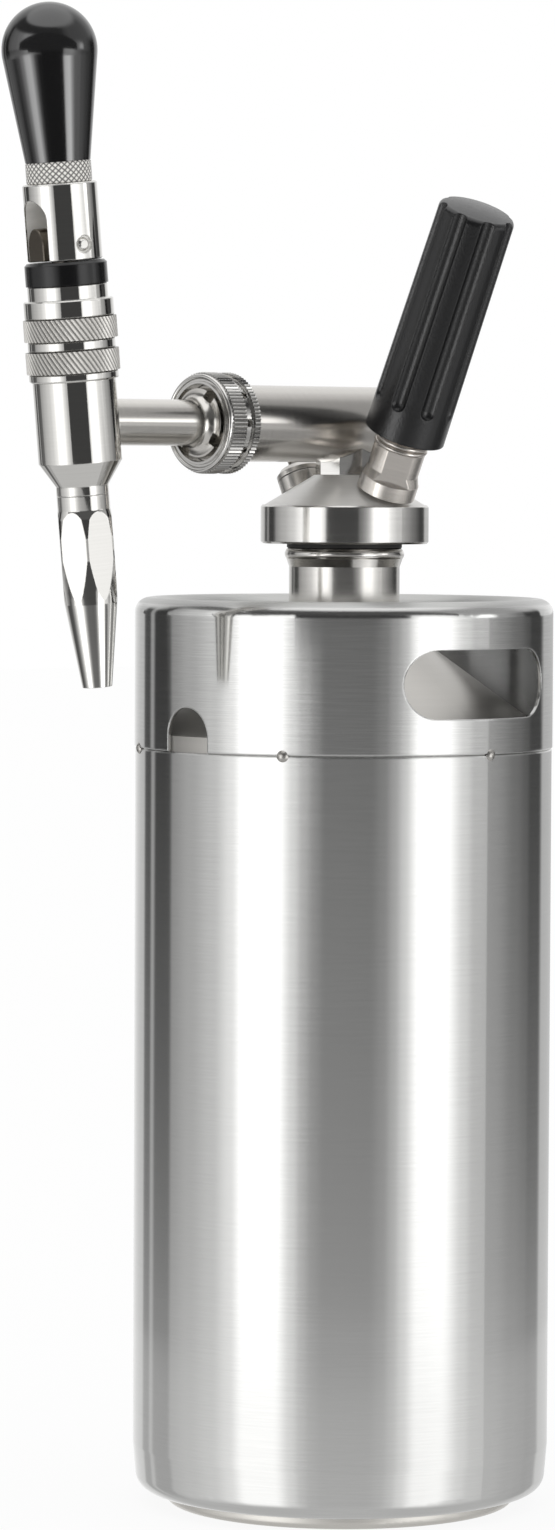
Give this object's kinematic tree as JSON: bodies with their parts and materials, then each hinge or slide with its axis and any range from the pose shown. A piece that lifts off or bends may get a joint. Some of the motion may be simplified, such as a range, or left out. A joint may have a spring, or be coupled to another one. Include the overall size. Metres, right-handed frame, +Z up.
{
  "type": "nitro cold brew dispenser",
  "caption": "Stainless mini keg with a screwed tap head: leaning gas charger sleeve, relief valve, arm with knurled coupling nut and a stout faucet with a tilting black handle.",
  "frame": {"origin": "on the keg's axis, on the plane its foot ring stands on", "axes": "+Z up, the tap arm and spout point to -Y, the gas charger leans to +X, the relief valve leans to -X"},
  "size_m": [0.1384, 0.2042, 0.4725],
  "materials": {
    "brushed_steel": "circumferential brushed stainless",
    "satin_steel": "satin stainless",
    "polished_steel": "mirror polished stainless",
    "knurled_steel": "knurled stainless",
    "gloss_black": "gloss black moulding",
    "grained_black": "fine grained black moulding",
    "wear_black": "satin black acetal",
    "seal_rubber": "black food grade rubber",
    "cartridge_steel": "drawn steel"
  },
  "bodies": {
    "keg": {"keg_body": "brushed_steel", "keg_foot_ring": "satin_steel", "keg_shoulder": "satin_steel", "keg_neck": "satin_steel", "keg_collar": "brushed_steel", "collar_weld_tacks": "satin_steel"},
    "tap_head": {"tap_cap": "polished_steel", "cap_seal": "seal_rubber", "cap_hub": "polished_steel", "arm_tube": "satin_steel", "arm_end_plug": "satin_steel", "dip_tube": "satin_steel", "dip_tube_collar": "seal_rubber", "inlet_body": "satin_steel", "inlet_washers": "polished_steel", "piercing_pin": "polished_steel", "cartridge_seal": "seal_rubber", "relief_body": "satin_steel", "relief_guide": "satin_steel", "relief_spring": "satin_steel", "nut_retaining_ring": "satin_steel", "coupling_washer": "seal_rubber"},
    "charger": {"charger_sleeve": "grained_black", "gas_cartridge": "cartridge_steel"},
    "relief_pull": {"relief_pull_cap": "polished_steel", "relief_poppet": "seal_rubber"},
    "coupling_nut": {"coupling_nut": "knurled_steel"},
    "faucet": {"faucet_shank": "satin_steel", "faucet_body": "polished_steel", "restrictor_disc": "satin_steel", "body_ring": "polished_steel", "waist_sleeve": "polished_steel", "bonnet_cap": "polished_steel", "wear_ring": "wear_black"},
    "spout": {"spout": "polished_steel", "spout_seal": "seal_rubber"},
    "lower_knurl_ring": {"lower_knurl_ring": "knurled_steel"},
    "upper_knurl_ring": {"upper_knurl_ring": "knurled_steel"},
    "valve_stem": {"valve_stem": "satin_steel", "stem_seal_rings": "seal_rubber", "plunger_seal": "seal_rubber"},
    "lever": {"lever_hood": "polished_steel", "pivot_pin": "satin_steel", "handle_lock_ring": "knurled_steel", "tap_handle": "gloss_black", "handle_stud": "satin_steel"}
  },
  "joints": [
    {"name": "tap_head_turn", "type": "hinge", "parent": "keg", "child": "tap_head", "pos_m": [0, 0, 0.3073], "axis": [0, 0, 1], "continuous": true},
    {"name": "charger_turn", "type": "hinge", "parent": "tap_head", "child": "charger", "pos_m": [0.0196, 0, 0.325], "axis": [0.4274, 0, 0.9041], "continuous": true},
    {"name": "relief_lift", "type": "slide", "parent": "tap_head", "child": "relief_pull", "axis": [-0.4274, 0, 0.9041], "range_m": [0, 0.002], "stiffness_N_per_m": 1500, "springref_m": -0.001, "deforming": ["relief_spring"]},
    {"name": "coupling_nut_turn", "type": "hinge", "parent": "tap_head", "child": "coupling_nut", "pos_m": [0, -0.056, 0.3452], "axis": [0, -1, 0], "continuous": true},
    {"name": "faucet_swivel", "type": "hinge", "parent": "tap_head", "child": "faucet", "pos_m": [0, -0.058, 0.3452], "axis": [0, -1, 0], "range_deg": [-90, 90]},
    {"name": "spout_turn", "type": "hinge", "parent": "faucet", "child": "spout", "pos_m": [0, -0.10902, 0.32292], "axis": [0, -0.1018, 0.9948], "continuous": true},
    {"name": "lower_knurl_ring_turn", "type": "hinge", "parent": "faucet", "child": "lower_knurl_ring", "pos_m": [0, -0.11313, 0.36311], "axis": [0, -0.1018, 0.9948], "continuous": true},
    {"name": "upper_knurl_ring_turn", "type": "hinge", "parent": "faucet", "child": "upper_knurl_ring", "pos_m": [0, -0.11415, 0.37306], "axis": [0, -0.1018, 0.9948], "continuous": true},
    {"name": "stem_lift", "type": "slide", "parent": "faucet", "child": "valve_stem", "axis": [0, -0.1018, 0.9948], "range_m": [0, 0.0055]},
    {"name": "handle_tilt", "type": "hinge", "parent": "valve_stem", "child": "lever", "pos_m": [0, -0.11681, 0.39902], "axis": [0.9925, -0.1212, -0.0124], "range_deg": [0, 40]}
  ],
  "couplings": [
    {"joint": "stem_lift", "follows": "handle_tilt", "m_per_rad": 0.0074}
  ]
}
